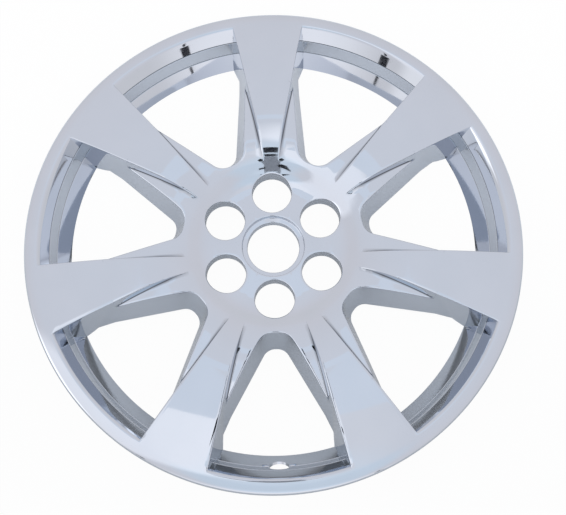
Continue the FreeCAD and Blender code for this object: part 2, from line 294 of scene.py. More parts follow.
edge_slope = solved(round_below_face, *EDGE_ROUND_SLOPES)
rim_profile = [on_round(slope) for slope in spaced(edge_slope, EDGE_ROUND_SLOPES[1], ROUND_ROWS)]
facet_ends = [np.array(point) for point in FACET_POINTS]
for corner, following, rows in zip(facet_ends, facet_ends[1:], FACET_ROWS):
    along, onward = unit(corner - rim_profile[-1]), unit(following - corner)
    rim_profile += spaced(rim_profile[-1], corner - GROOVE_HALF_WIDTH * along, rows)[1:]
    rim_profile.append(corner + GROOVE_DEPTH * np.array((-along[1], along[0])))
    rim_profile.append(corner + GROOVE_HALF_WIDTH * onward)
rim_profile += spaced(rim_profile[-1], facet_ends[-1], FACET_ROWS[-1])[1:]
rim_profile = np.array(rim_profile)
WALL_ROWS = len(rim_profile) - ROUND_ROWS - 1
first_groove = ROUND_ROWS + FACET_ROWS[0]
second_groove = first_groove + GROOVE_POINTS - 1 + FACET_ROWS[1]
GROOVE_ROWS = [start + step for start in (first_groove, second_groove) for step in range(GROOVE_POINTS)]
print("rim wall edge at radius", round(rim_profile[0][0] / MM, 2), "mm,", len(rim_profile), "rows")

# %% Walls of a window as a grid of points
EDGE_SIZE = 1.1 * MM
LOWEST_FRONT = -20 * MM  # the search for a front edge starts here
REACH_LIMITS = (0.3, 1.5)  # and the one for a rim corner runs between these


def in_space(plan, height):
    return np.array((plan[0], plan[1], height))


def rounded(before, corner, after):
    """Points of a smooth turn round a corner, after the first one."""
    shares = [step / ROUND_ROWS for step in range(1, ROUND_ROWS + 1)]
    return [(1 - s) ** 2 * before + 2 * s * (1 - s) * corner + s * s * after for s in shares]


def rim_corner_reach(row):
    """Reach on the side wall at which it meets a row of the rim wall."""
    r, z = rim_profile[row]
    return solved(lambda reach: np.linalg.norm(on_rim_side(reach, z)) - r, *REACH_LIMITS)


corner_reaches = np.array([rim_corner_reach(row) for row in range(len(rim_profile))])
corner_points = [in_space(on_rim_side(reach, z), z) for reach, (r, z) in zip(corner_reaches, rim_profile)]


def wall_column(place, reach_share=0.0):
    """Front edge, and points from the edge's lower end to the back edge, of one ruling."""
    front = crossing(place, front_height, LOWEST_FRONT, HIGH)
    back = crossing(place, back_height, LOW, 0.0)
    even = np.linspace(0, 1, WALL_ROWS + 1)
    corner_z = rim_profile[ROUND_ROWS:, 1]
    uneven = (corner_z[0] - corner_z) / (corner_z[0] - corner_z[-1])
    shares = (1 - reach_share) * even + reach_share * uneven
    heights = front - EDGE_SIZE + shares * (back - front + EDGE_SIZE)
    return in_space(place(front), front), [in_space(place(z), z) for z in heights]


columns = [wall_column(lambda z, c=c: on_ruling(c, z)) for c in range(len(low_outline))]
for share in spaced(0.0, 1.0, RIM_COLUMNS)[1:-1]:
    columns.append(wall_column(lambda z, s=share: on_rim_side(s * corner_reaches[ROUND_ROWS], z), share))
print(len(columns), "wall columns before the rim corner")

# %% [markdown]
# ## Half a spoke
# A spoke and half of each window beside it repeat seven times, and each half mirrors the other, so only
# one fourteenth is meshed. Rows follow circles about the axis, which keeps the face's reflections smooth.
# Across a row the columns crowd together at the blade's edges, where the height is softened to a small
# radius. At the front edge of a window each row turns down and becomes a ruling of its wall.

# %% Rows across the spoke
BLADE_COLUMNS = 10
CREASE_COLUMNS = 4
STEP_COLUMNS = 2
SHELF_COLUMNS = 6
SPOKE_COLUMNS = BLADE_COLUMNS + CREASE_COLUMNS + STEP_COLUMNS + CREASE_COLUMNS + SHELF_COLUMNS
HALF_COLUMNS = SPOKE_COLUMNS + END_COLUMNS
JOINT_RADIUS = 86 * MM
CREASE = 0.8 * MM
CREASE_LIMIT = 2.2  # keeps the two creases of a low step apart
SOFT_STEPS = 9  # places over which a height is averaged
SOFT_FALL = 0.8  # how much less the outermost of them count
REACH_ROUNDS = 20  # rounds in which a blade's reach on a circle settles


def turned(r, angle, height):
    """Point at a radius and at an angle from the spoke's axis."""
    return np.array((r * math.cos(angle), r * math.sin(angle), height))


def polar(p):
    return math.hypot(p[0], p[1]), math.atan2(p[1], p[0])


def soft_front_height(r, angle):
    """Front height averaged over a short stretch of the row, which rounds the blade's edges."""
    total = 0
    steps = np.linspace(-1, 1, SOFT_STEPS)
    weights = 1 - np.abs(steps) * SOFT_FALL
    for step, weight in zip(steps, weights):
        a = np.abs(angle + step * CREASE / r)
        total = total + weight * front_height(r * np.cos(a), r * np.sin(a))
    return total / weights.sum()


def blade_angle(r, height):
    """Angle from the spoke's axis at which the blade's side has a height, on the circle of radius r."""
    across = 0.0
    for round_number in range(REACH_ROUNDS):
        across = blade_wall_reach(math.sqrt(r * r - across * across), height)
    return math.asin(across / r)


def row_angles(r, end):
    """Angles of a row's columns, from the spoke's axis to an end angle, which it reaches at radius r."""
    top = blade_angle(r, float(face_height(r)))
    foot = blade_angle(r, float(shelf_height(r)))
    half = min(CREASE / r, (foot - top) / CREASE_LIMIT)
    breaks = np.minimum((0, top - half, top + half, foot - half, foot + half, end), end)
    counts = (BLADE_COLUMNS, CREASE_COLUMNS, STEP_COLUMNS, CREASE_COLUMNS, SHELF_COLUMNS)
    angles = [0.0]
    for start, stop, count in zip(breaks, breaks[1:], counts):
        angles += spaced(start, stop, count)[1:]
    return np.array(angles)


def row_points(axis_radius, end_radius, angles):
    """Points of a row that leaves the spoke's axis at one radius and bends to another at its end."""
    radii = axis_radius + (end_radius - axis_radius) * (angles / angles[-1]) ** 2
    heights = soft_front_height(radii, angles)
    return [turned(r, a, z) for r, a, z in zip(radii, angles, heights)]


print(SPOKE_COLUMNS, "columns across half a spoke")

# %% Grid of quads in a mesh under construction
vertices, faces = [], []


def add_grid(rows):
    """Adds rows of points, all of one length, as a sheet of quads."""
    base, width = len(vertices), len(rows[0])
    for row in rows:
        vertices.extend(tuple(p) for p in row)
    for i in range(len(rows) - 1):
        for j in range(width - 1):
            a = base + i * width + j
            faces.append((a, a + width, a + width + 1, a + 1))


def crosswise(rows):
    """Rows of points turned into columns."""
    return [list(line) for line in zip(*rows)]


# %% Hub side of the spoke
INNER_ROWS = 3
START_ROWS = 5
SAME_RADIUS = 1e-6  # metres
ring_angles = np.linspace(0, HALF_PITCH, HALF_COLUMNS + 1)


def hub_lines():
    """Lines from the joint ring to the hub end of the window, the corner's first, then to its middle."""
    lines = []
    for column in range(END_COLUMNS, -1, -1):
        edge, wall = columns[column]
        edge_r, edge_angle = polar(edge)
        start_angle = ring_angles[HALF_COLUMNS - column]
        radii = spaced(JOINT_RADIUS, BLADE_START, INNER_ROWS)
        radii += spaced(BLADE_START, edge_r - EDGE_SIZE, START_ROWS)[1:]
        line = []
        for r in radii:
            share = (r - JOINT_RADIUS) / (edge_r - JOINT_RADIUS)
            a = start_angle + share * (edge_angle - start_angle)
            line.append(turned(r, a, float(shelf_height(r))))
        lines.append(line + rounded(line[-1], edge, wall[0]) + wall[1:])
    return lines


end_lines = hub_lines()
add_grid(end_lines)

collar = []
for top in end_lines[0][:INNER_ROWS + START_ROWS + 1]:
    r, last_angle = polar(top)
    if r < BLADE_START - SAME_RADIUS:
        at_start = row_angles(BLADE_START, last_angle)
        share = (r - JOINT_RADIUS) / (BLADE_START - JOINT_RADIUS)
        angles = (1 - share) * ring_angles[:SPOKE_COLUMNS + 1] + share * at_start
        angles[-1] = last_angle
        collar.append([turned(r, a, float(face_height(r))) for a in angles])
    else:
        collar.append(row_points(r, r, row_angles(r, last_angle)))
    collar[-1][-1] = top
add_grid(crosswise(collar))
print("hub side:", len(vertices), "points")

# %% Spoke, window sides and rim wall
TIP_REACH = 3  # rows on each side over which the rows even out, because the edge turns at the blade's tip

spoke_rows = [collar[-1] + end_lines[0][INNER_ROWS + START_ROWS + 1:]]
edge_radius, edge_angle = polar(corner_points[0])
edge_radii = [polar(edge)[0] for edge, wall in columns[END_COLUMNS:]] + [edge_radius]
for number, (edge, wall) in enumerate(columns[END_COLUMNS + 1:], 1):
    r, angle = polar(edge)
    reach = min(TIP_REACH, number, len(edge_radii) - 1 - number)
    axis_radius = sum(edge_radii[number - reach:number + reach + 1]) / (2 * reach + 1)
    top = row_points(axis_radius, r, row_angles(r, angle - EDGE_SIZE / r))
    spoke_rows.append(top + rounded(top[-1], edge, wall[0]) + wall[1:])
last_angles = row_angles(edge_radius, edge_angle)
last_top = row_points(edge_radius, edge_radius, last_angles)
last_top[-1] = corner_points[0]
spoke_rows.append(last_top + corner_points[1:])
add_grid(crosswise(spoke_rows))

rim_rows = []
for (r, z), corner in zip(rim_profile, corner_points):
    angles = spaced(polar(corner)[1], HALF_PITCH, END_COLUMNS)
    rim_rows.append([turned(r, a, z) for a in angles])
add_grid(crosswise(rim_rows)[::-1])
print("with spoke and walls:", len(vertices), "points")

# %% Lip round the outside
LIP_SLOPE = math.radians(26)
LIP_EDGE_RADIUS = 4.2 * MM
LIP_SKIRT = 2.5 * MM
LIP_ROWS = 5
LIP_EDGE_ROWS = 6
edge_run = LIP_EDGE_RADIUS * (1 - math.sin(LIP_SLOPE))
LIP_RADIUS = (OUTER_RADIUS - FACE_EDGE_RADIUS - edge_run) / (math.sin(LIP_SLOPE) - math.sin(FACE_SLOPE))

lip_start = np.array((FACE_EDGE_RADIUS, CROWN_HEIGHT - FACE_DROP))


def on_arc(centre, radius, slope):
    return centre + radius * np.array((math.sin(slope), math.cos(slope)))


lip_centre = lip_start - on_arc(0, LIP_RADIUS, FACE_SLOPE)
lip_profile = [on_arc(lip_centre, LIP_RADIUS, s) for s in spaced(FACE_SLOPE, LIP_SLOPE, LIP_ROWS)]
turn_centre = lip_profile[-1] - on_arc(0, LIP_EDGE_RADIUS, LIP_SLOPE)
lip_turn = spaced(LIP_SLOPE, math.pi / 2, LIP_EDGE_ROWS)[1:]
lip_profile += [on_arc(turn_centre, LIP_EDGE_RADIUS, s) for s in lip_turn]
lip_profile.append(lip_profile[-1] - np.array((0, LIP_SKIRT)))

lip_angles = list(last_angles) + spaced(edge_angle, HALF_PITCH, END_COLUMNS)[1:]
edge_heights = [p[2] for p in last_top] + [rim_profile[0][1]] * END_COLUMNS
lip_rows = [[turned(rim_profile[0][0], a, z) for a, z in zip(lip_angles, edge_heights)]]
for r, z in lip_profile:
    lip_rows.append([turned(r, a, z) for a in lip_angles])
add_grid(crosswise(lip_rows))
print("half spoke:", len(vertices), "points,", len(faces), "quads")

# %% Finish a sheet of quads
MERGE = 0.004 * MM  # nearer points are welded


def placed(name, data):
    """A new object in the scene, made of a mesh or a camera."""
    thing = bpy.data.objects.new(name, data)
    bpy.context.scene.collection.objects.link(thing)
    return thing


def face_up(work):
    """Turns all faces to the side on which the highest one looks up."""
    bmesh.ops.recalc_face_normals(work, faces=work.faces)
    highest = max(work.faces, key=lambda f: f.calc_center_median().z)
    if highest.normal.z < 0:
        bmesh.ops.reverse_faces(work, faces=work.faces)


def sheet_object(name):
    """Turns the points collected so far into an object, welded, standing on the resting plane."""
    mesh = bpy.data.meshes.new(name)
    mesh.from_pydata([(x, y, z + PAD_HEIGHT) for x, y, z in vertices], [], faces)
    work = bmesh.new()
    work.from_mesh(mesh)
    bmesh.ops.remove_doubles(work, verts=work.verts, dist=MERGE)
    bmesh.ops.dissolve_degenerate(work, edges=work.edges, dist=MERGE)
    face_up(work)
    work.to_mesh(mesh)
    work.free()
    vertices.clear()
    faces.clear()
    return placed(name, mesh)


half_spoke = sheet_object("half_spoke")
print("half spoke welded:", len(half_spoke.data.polygons), "faces")

# %% [markdown]
# ## A sixth of the hub
# The lug holes repeat six times and the spokes seven times. The two patterns meet on one circle, whose
# points are spaced so that both counts divide them. Round each lug hole the quads spread like a fan from
# the hole's edge to the borders of its sixth, and a short tube goes down behind the hole.

# %% Lug hole and its surroundings
LUG_COUNT = 6
LUG_CIRCLE = 60 * MM
LUG_RADIUS = 21.7 * MM
TUBE_DEPTH = 16 * MM
RECESS_RADIUS = 34 * MM
HALF_SIXTH = math.pi / LUG_COUNT
RING_STEPS = HALF_COLUMNS * 2 * SPOKE_COUNT // LUG_COUNT // 2
SIDE_STEPS = 12
RECESS_STEPS = 12
FAN_ROWS = 7
TUBE_ROWS = 3

border = [(JOINT_RADIUS, a) for a in spaced(0, HALF_SIXTH, RING_STEPS)]
border += [(r, HALF_SIXTH) for r in spaced(JOINT_RADIUS, RECESS_RADIUS + EDGE_SIZE, SIDE_STEPS)[1:]]
border += [(RECESS_RADIUS + EDGE_SIZE, a) for a in spaced(HALF_SIXTH, 0, RECESS_STEPS)[1:]]

lug_centre = np.array((LUG_CIRCLE, 0))
fan = []
for r, a in border:
    out = np.array((r * math.cos(a), r * math.sin(a)))
    outward = unit(out - lug_centre)
    edge = lug_centre + LUG_RADIUS * outward
    start = lug_centre + (LUG_RADIUS + EDGE_SIZE) * outward
    line = [in_space(p, float(face_height(np.linalg.norm(p)))) for p in spaced(out, start, FAN_ROWS)]
    corner = in_space(edge, float(face_height(np.linalg.norm(edge))))
    below = corner - np.array((0, 0, EDGE_SIZE))
    tube_end = in_space(edge, -TUBE_DEPTH)
    fan.append(line + rounded(line[-1], corner, below) + spaced(below, tube_end, TUBE_ROWS)[1:])
add_grid(fan)
print("round a lug hole:", len(faces), "quads")

# %% Stepped centre hole
CENTRE_RADIUS = 28.5 * MM
RECESS_DEPTH = 6 * MM


def rounded_path(corners):
    """A path through corners, each but the first and last turned with a small radius."""
    path = [corners[0]]
    for before, corner, after in zip(corners, corners[1:], corners[2:]):
        come = corner + unit(before - corner) * EDGE_SIZE
        leave = corner + unit(after - corner) * EDGE_SIZE
        path += [come] + rounded(come, corner, leave)
    return path + [corners[-1]]


step_corners = [
    np.array((RECESS_RADIUS + EDGE_SIZE, 0)),
    np.array((RECESS_RADIUS, 0)),
    np.array((RECESS_RADIUS, -RECESS_DEPTH)),
    np.array((CENTRE_RADIUS, -RECESS_DEPTH)),
    np.array((CENTRE_RADIUS, -TUBE_DEPTH)),
]
step_angles = spaced(0, HALF_SIXTH, RECESS_STEPS)
add_grid([[turned(r, a, z) for r, z in rounded_path(step_corners)] for a in step_angles])
hub_sixth = sheet_object("hub_sixth")
print("half of a hub sixth:", len(hub_sixth.data.polygons), "faces")

# %% [markdown]
# ## Round the wheel with Geometry Nodes
# A mirror copy and a ring of turned copies make the whole from each part. A small node tree does both: it
# scales the sheet by minus one across the axis and turns those faces back, makes one instance for each
# step of the ring, and realizes them, so that the result is a plain mesh.

# %% Helpers for node trees
WHOLE_TURN = 2 * math.pi
FIRST_SPOKE = math.pi / 2  # it points along +Y


def add_node(tree, kind, inputs=None, **settings):
    """A new node with its settings, and the values of some of its inputs."""
    node = tree.nodes.new(kind)
    for name, value in settings.items():
        setattr(node, name, value)
    for socket, value in (inputs or {}).items():
        node.inputs[socket].default_value = value
    return node


def wire(tree, *joins):
    """Links nodes; each join names a node, its output, the next node and that one's input."""
    for source, output, target, entry in joins:
        tree.links.new(source.outputs[output], target.inputs[entry])


# %% Tree that repeats a half about the axis
def wheel_tree():
    tree = bpy.data.node_groups.new("round_the_wheel", "GeometryNodeTree")
    for name, kind in (("Half", "Geometry"), ("Count", "Int"), ("Finish", "Material")):
        tree.interface.new_socket(name, in_out="INPUT", socket_type="NodeSocket" + kind)
    tree.interface.new_socket("Ring", in_out="OUTPUT", socket_type="NodeSocketGeometry")
    start = add_node(tree, "NodeGroupInput")
    mirror = add_node(tree, "GeometryNodeTransform", {"Scale": (1, -1, 1)})
    turned_back = add_node(tree, "GeometryNodeFlipFaces")
    both = add_node(tree, "GeometryNodeJoinGeometry")
    points = add_node(tree, "GeometryNodePoints")
    index = add_node(tree, "GeometryNodeInputIndex")
    share = add_node(tree, "ShaderNodeMath", operation="DIVIDE")
    angle = add_node(tree, "ShaderNodeMath", {1: WHOLE_TURN, 2: FIRST_SPOKE}, operation="MULTIPLY_ADD")
    turn = add_node(tree, "ShaderNodeCombineXYZ")
    ring = add_node(tree, "GeometryNodeInstanceOnPoints")
    real = add_node(tree, "GeometryNodeRealizeInstances")
    weld = add_node(tree, "GeometryNodeMergeByDistance", {"Distance": MERGE})
    finish = add_node(tree, "GeometryNodeSetMaterial")
    end = add_node(tree, "NodeGroupOutput")
    wire(
        tree,
        (start, "Half", mirror, "Geometry"),
        (mirror, "Geometry", turned_back, "Mesh"),
        (start, "Half", both, "Geometry"),
        (turned_back, "Mesh", both, "Geometry"),
        (start, "Count", points, "Count"),
        (index, "Index", share, 0),
        (start, "Count", share, 1),
        (share, "Value", angle, 0),
        (angle, "Value", turn, "Z"),
        (points, "Points", ring, "Points"),
        (both, "Geometry", ring, "Instance"),
        (turn, "Vector", ring, "Rotation"),
        (ring, "Instances", real, "Geometry"),
        (real, "Geometry", weld, "Geometry"),
        (weld, "Geometry", finish, "Geometry"),
        (start, "Finish", finish, "Material"),
        (finish, "Geometry", end, "Ring"),
    )
    return tree


# %% Modifiers turned into plain meshes
def settled(piece, modifier):
    """Replaces a piece's mesh by what its one modifier makes of it."""
    graph = bpy.context.evaluated_depsgraph_get()
    mesh = bpy.data.meshes.new_from_object(piece.evaluated_get(graph))
    piece.modifiers.remove(modifier)
    piece.data = mesh
    return mesh


def round_the_wheel(piece, tree, count, finish):
    """Replaces a half by the whole ring made of it."""
    modifier = piece.modifiers.new("round_the_wheel", "NODES")
    modifier.node_group = tree
    entries = [item for item in tree.interface.items_tree if item.in_out == "INPUT"]
    sockets = {item.name: item.identifier for item in entries}
    modifier[sockets["Count"]] = count
    modifier[sockets["Finish"]] = finish
    mesh = settled(piece, modifier)
    print(piece.name, "times", count, ":", len(mesh.polygons), "faces")


# %% [markdown]
# ## Chrome
# Decorative chrome is a mirror with faults: slow waves from the moulding, a fine haze from handling, and a
# little blue in its grey. Waves go into the normal and haze into the roughness. The back of the shell is
# plated too, but nobody polished it, so it is duller. Both use one group for the waves, the haze and a
# painted shade: dark colour laid in the crevices where an attribute of the mesh says so.

# %% Group: waves and haze of plated plastic, and painted shade in its crevices
WAVE_DETAIL = 1.5
HAZE_DETAIL = 6.0
HAZE_RANGE = (0.3, 0.75)
TINT_RANGE = (0.3, 0.7)
TINTS = ((0.598, 0.638, 0.698, 1), (0.612, 0.65, 0.71, 1))
# dark colour of the painted shade in the grooves and at the foot of each blade
CREVICE_SHADE_COLOUR = (0.05, 0.055, 0.065, 1)


def plating_group():
    group = bpy.data.node_groups.new("plating_faults_and_shade", "ShaderNodeTree")
    face = group.interface
    for name, value in (("Wave Size", 30.0), ("Haze Size", 90.0), ("Low", 0.03), ("High", 0.1)):
        socket = face.new_socket(name, in_out="INPUT", socket_type="NodeSocketFloat")
        socket.default_value = value
    for name, kind in (("Height", "Float"), ("Roughness", "Float"), ("Tint", "Color")):
        face.new_socket(name, in_out="OUTPUT", socket_type="NodeSocket" + kind)
    start = add_node(group, "NodeGroupInput")
    place = add_node(group, "ShaderNodeTexCoord")
    waves = add_node(group, "ShaderNodeTexNoise", {"Detail": WAVE_DETAIL})
    haze = add_node(group, "ShaderNodeTexNoise", {"Detail": HAZE_DETAIL})
    level = add_node(group, "ShaderNodeMapRange", {"From Min": HAZE_RANGE[0], "From Max": HAZE_RANGE[1]})
    tint = add_node(group, "ShaderNodeValToRGB")
    for stop, position, colour in zip(tint.color_ramp.elements, TINT_RANGE, TINTS):
        stop.position = position
        stop.color = colour
    # painted shade: the tint is darkened where the mesh's attribute marks a groove or a blade's foot, where
    # shade falls
    painted_crevice_shade = add_node(group, "ShaderNodeAttribute", attribute_name="painted_crevice_shade")
    shaded_tint = add_node(group, "ShaderNodeMix", {"B": CREVICE_SHADE_COLOUR}, data_type="RGBA")
    end = add_node(group, "NodeGroupOutput")
    wire(
        group,
        (place, "Object", waves, "Vector"),
        (place, "Object", haze, "Vector"),
        (start, "Wave Size", waves, "Scale"),
        (start, "Haze Size", haze, "Scale"),
        (haze, "Fac", level, "Value"),
        (start, "Low", level, "To Min"),
        (start, "High", level, "To Max"),
        (waves, "Fac", tint, "Fac"),
        (waves, "Fac", end, "Height"),
        (level, "Result", end, "Roughness"),
        (painted_crevice_shade, "Fac", shaded_tint, "Factor"),
        (tint, "Color", shaded_tint, "A"),
        (shaded_tint, "Result", end, "Tint"),
    )
    return group


# %% Two platings
BRIGHT_ROUGHNESS = (0.03, 0.07)
BRIGHT_WAVE = 0.04 * MM
DULL_ROUGHNESS = (0.3, 0.45)
DULL_WAVE = 0.2 * MM


def plated(name, group, roughness, wave):
    """Chrome with a range of roughness and with waves of a height."""
    material = bpy.data.materials.new(name)
    material.use_nodes = True
    tree = material.node_tree
    shader = tree.nodes["Principled BSDF"]
    shader.inputs["Metallic"].default_value = 1.0
    limits = {"Low": roughness[0], "High": roughness[1]}
    faults = add_node(tree, "ShaderNodeGroup", limits, node_tree=group)
    bump = add_node(tree, "ShaderNodeBump", {"Strength": 1.0, "Distance": wave})
    wire(
        tree,
        (faults, "Height", bump, "Height"),
        (bump, "Normal", shader, "Normal"),
        (faults, "Roughness", shader, "Roughness"),
        (faults, "Tint", shader, "Base Color"),
    )
    return material


plating = plating_group()
bright_chrome = plated("bright_chrome", plating, BRIGHT_ROUGHNESS, BRIGHT_WAVE)
dull_back = plated("dull_plated_back", plating, DULL_ROUGHNESS, DULL_WAVE)
print("materials:", bright_chrome.name, "and", dull_back.name)

# %% [markdown]
# ## One shell
# The two rings are welded on the circle where they meet. A Solidify modifier then gives the sheet its wall,
# all of it behind the front, which keeps its shape. Points below the resting plane are lifted onto it.

# %% One shell from both rings
tree = wheel_tree()
round_the_wheel(half_spoke, tree, SPOKE_COUNT, bright_chrome)
round_the_wheel(hub_sixth, tree, LUG_COUNT, bright_chrome)

shell_mesh = bpy.data.meshes.new("chrome_hubcap")
work = bmesh.new()
for part in (half_spoke, hub_sixth):
    work.from_mesh(part.data)
    bpy.data.objects.remove(part)
bmesh.ops.remove_doubles(work, verts=work.verts, dist=MERGE)
face_up(work)
open_edges = [e for e in work.edges if e.is_boundary]
work.to_mesh(shell_mesh)
work.free()
shell_mesh.materials.clear()
shell_mesh.materials.append(bright_chrome)
shell_mesh.materials.append(dull_back)
shell = placed("chrome_hubcap", shell_mesh)
print("front sheet:", len(shell_mesh.polygons), "faces,", len(open_edges), "open edges")

# %% Wall thickness
thick = shell.modifiers.new("wall", "SOLIDIFY")
thick.thickness = WALL
thick.offset = -1
thick.use_even_offset = False
thick.material_offset = 1  # the back takes the dull plating
solid_mesh = settled(shell, thick)
for vertex in solid_mesh.vertices:
    vertex.co.z = max(vertex.co.z, 0.0)
print("shell:", len(solid_mesh.polygons), "faces")

# %% [markdown]
# ## Valve hole
# The rim wall opposite the top spoke has one round hole for the tyre's valve. It is the only thing that
# breaks the seven-fold rule, so it is cut last, with a Boolean modifier and a cylinder square to the wall.

# %% Cut the valve hole
VALVE_RADIUS = 11 * MM
VALVE_SEGMENTS = 48
CUT_LENGTH = 28 * MM
VALVE_PLACE = (OUTER_RADIUS - 32.5 * MM, -15.8 * MM)  # radius and height
slope = unit(facet_ends[0] - facet_ends[-1])
hole_axis = Vector((0, -slope[1], -slope[0]))
hole_middle = Vector((0, -VALVE_PLACE[0], VALVE_PLACE[1] + PAD_HEIGHT))

cutter_mesh = bpy.data.meshes.new("valve_cutter")
work = bmesh.new()
bmesh.ops.create_cone(
    work, cap_ends=True, segments=VALVE_SEGMENTS,
    radius1=VALVE_RADIUS, radius2=VALVE_RADIUS, depth=CUT_LENGTH,
    matrix=Matrix.Translation(hole_middle) @ hole_axis.to_track_quat("Z", "Y").to_matrix().to_4x4(),
)
work.to_mesh(cutter_mesh)
work.free()
cutter = placed("valve_cutter", cutter_mesh)
cut = shell.modifiers.new("valve_hole", "BOOLEAN")
cut.operation = "DIFFERENCE"
cut.solver = "EXACT"
cut.object = cutter
shell_mesh = settled(shell, cut)
bpy.data.objects.remove(cutter)
print("with the valve hole:", len(shell_mesh.polygons), "faces")

# %% [markdown]
# ## Edges and painted shade
# Faces are shaded smoothly, but not across sharp creases and along the grooves of the rim walls. Shade is
# painted into those grooves and at the foot of each blade: darkest beside a high step, and less as the
# step runs out. The amount is stored on the points as an attribute.

# %% Smooth shading with sharp creases
SHARP_ANGLE = math.radians(38)
ON_EDGE = 0.02 * MM
shell_mesh.polygons.foreach_set("use_smooth", [True] * len(shell_mesh.polygons))
shell_mesh.set_sharp_from_angle(angle=SHARP_ANGLE)
facet_edges = rim_profile[ROUND_ROWS:] + (0, PAD_HEIGHT)
places = np.array([(v.co.xy.length, v.co.z) for v in shell_mesh.vertices])
on_facet_edge = np.array([np.abs(places - edge).max(axis=1) < ON_EDGE for edge in facet_edges])
marked = 0
for edge in shell_mesh.edges:
    a, b = edge.vertices
    for row in GROOVE_ROWS:
        if on_facet_edge[row - ROUND_ROWS, a] and on_facet_edge[row - ROUND_ROWS, b]:
            edge.use_edge_sharp = True
            marked += 1
shell_mesh.calc_loop_triangles()
print(marked, "sharp facet edges,", len(shell_mesh.loop_triangles), "triangles")

# %% Painted shade in the grooves and at the foot of the blades
FOOT_WIDTH = 1.2 * MM
FOOT_HEIGHT = 1.0 * MM
FULL_STEP = 5 * MM  # a step of this height gets the darkest painted shade
r, height = places[:, 0], places[:, 1] - PAD_HEIGHT
turn = np.array([math.atan2(v.co.y, v.co.x) for v in shell_mesh.vertices]) - FIRST_SPOKE
turn = np.abs((turn + HALF_PITCH) % (2 * HALF_PITCH) - HALF_PITCH)
along, across = r * np.cos(turn), r * np.sin(turn)
shelf = shelf_height(r)
off_foot = np.abs(across - blade_wall_reach(along, shelf))
at_foot = (np.abs(height - shelf) < FOOT_HEIGHT) & (along > BLADE_START)
at_foot &= shelf < face_height(r) - FOOT_HEIGHT / 2
# painted shade: colour darkened at each blade's foot and along the grooves, where shade falls
painted_shade = np.where(at_foot, np.clip(1 - off_foot / FOOT_WIDTH, 0, 1), 0.0)
painted_shade *= np.clip((face_height(r) - shelf) / FULL_STEP, 0, 1)
for row in (first_groove + 1, second_groove + 1):
    painted_shade[on_facet_edge[row - ROUND_ROWS]] = 1.0
painted_crevice_shade = shell_mesh.attributes.new("painted_crevice_shade", "FLOAT", "POINT")
painted_crevice_shade.data.foreach_set("value", painted_shade)
print("dust on", int((painted_shade > 0).sum()), "of", len(painted_shade), "points")

# %% Join the shell to the frame
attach(shell, "root")
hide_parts("hubcap")
print(shell.name, "rides on the root")

# %% [markdown]
# ## Camera
# The camera was fitted to the outer edge, the lug circle and the window corners: it looks from 74 degrees
# above the floor, from 1.6 metres. The hub lies a little left of and above the picture's middle, which a
# small shift gives.

# %% Camera
PICTURE = (566, 515)
CAMERA_DISTANCE = 1.604  # metres
CAMERA_FROM_UPRIGHT = math.radians(16.01)
CAMERA_ROLL = math.radians(1.55)
CAMERA_SHIFT = (9.7, -11.6)  # pixels
PIXELS_PER_METRE = 916.3
SENSOR = 36.0

camera_data = bpy.data.cameras.new("camera")
camera_data.sensor_width = SENSOR
camera_data.lens = PIXELS_PER_METRE * CAMERA_DISTANCE * SENSOR / PICTURE[0]
camera_data.shift_x, camera_data.shift_y = (shift / PICTURE[0] for shift in CAMERA_SHIFT)
camera = placed("camera", camera_data)
camera.matrix_world = (
    Matrix.Translation((0, 0, PAD_HEIGHT))
    @ Matrix.Rotation(CAMERA_FROM_UPRIGHT, 4, "X")
    @ Matrix.Rotation(-CAMERA_ROLL, 4, "Z")
    @ Matrix.Translation((0, 0, CAMERA_DISTANCE))
)
bpy.context.scene.camera = camera
print("lens", round(camera_data.lens, 2), "mm")

# %% [markdown]
# ## Floor and sky
# The floor is white for the camera, greyer in reflections, and still takes the shadow. From below it is
# clear, so the back of the shell can be looked at. Chrome needs things to reflect: the sky is a soft ramp
# with a bright screen on one side, some lit or bluish patches, and a pale blue panel overhead with a gap.

# %% Floor
MATT = 0.9
FLOOR_SIZE = 16.0
FLOOR_DEPTH = 0.2 * MM  # a hair below the shell's back edges
FLOOR_WHITE = 0.965  # the rest is lit by the scene, and so keeps the shadow
FLOOR_WHITE_IN_CHROME = 0.12
# painted shade on the floor: its colour is darker to the south and lighter to the north, as if lit more
# from the north
FLOOR_SHADED_SOUTH = (0.62, 0.64, 0.65, 1)
FLOOR_LIT_NORTH = (0.92, 0.94, 0.95, 1)
FLOOR_FADE = 0.15  # metres from the axis, over which south turns into north


